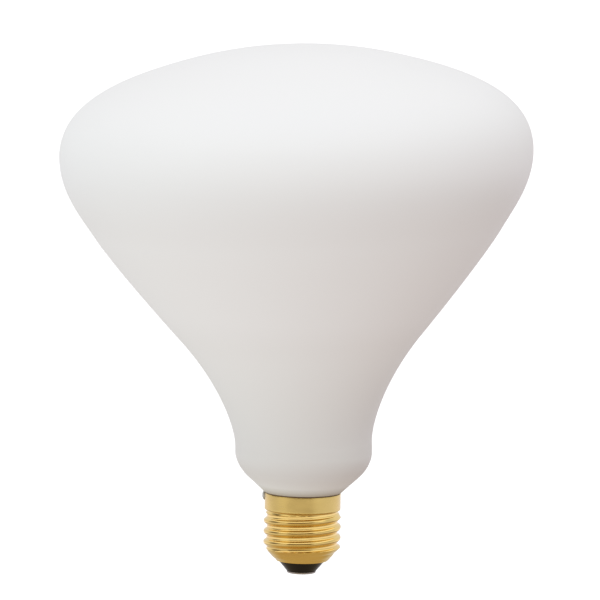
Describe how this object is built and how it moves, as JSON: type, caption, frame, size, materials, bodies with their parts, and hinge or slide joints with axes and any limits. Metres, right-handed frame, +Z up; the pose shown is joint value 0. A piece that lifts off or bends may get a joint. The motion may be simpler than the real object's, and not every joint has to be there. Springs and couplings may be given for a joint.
{
  "type": "led light bulb",
  "caption": "Large opal light bulb with a broad domed top that narrows to a neck, on a brass Edison screw cap.",
  "frame": {"origin": "centre of the centre contact's lowest face, on the axis of the cap", "axes": "+Z up the axis of the cap towards the glass; the glass neck bends 2.5 degrees towards -X, where the side contact's solder is"},
  "size_m": [0.1599, 0.16, 0.18],
  "materials": {
    "opal_glass": "matt opal white, opaque",
    "brass_sheet": "bright rolled sheet",
    "black_insulator": "glossy black moulding",
    "contact_metal": "dull tinned metal",
    "brown_cement": "matt brown",
    "tin_solder": "satin grey solder"
  },
  "bodies": {
    "root": {"glass_bulb": "opal_glass", "screw_shell": "brass_sheet", "cap_insulator": "black_insulator", "centre_contact": "contact_metal", "capping_cement": "brown_cement", "side_contact_solder": "tin_solder"}
  },
  "joints": []
}
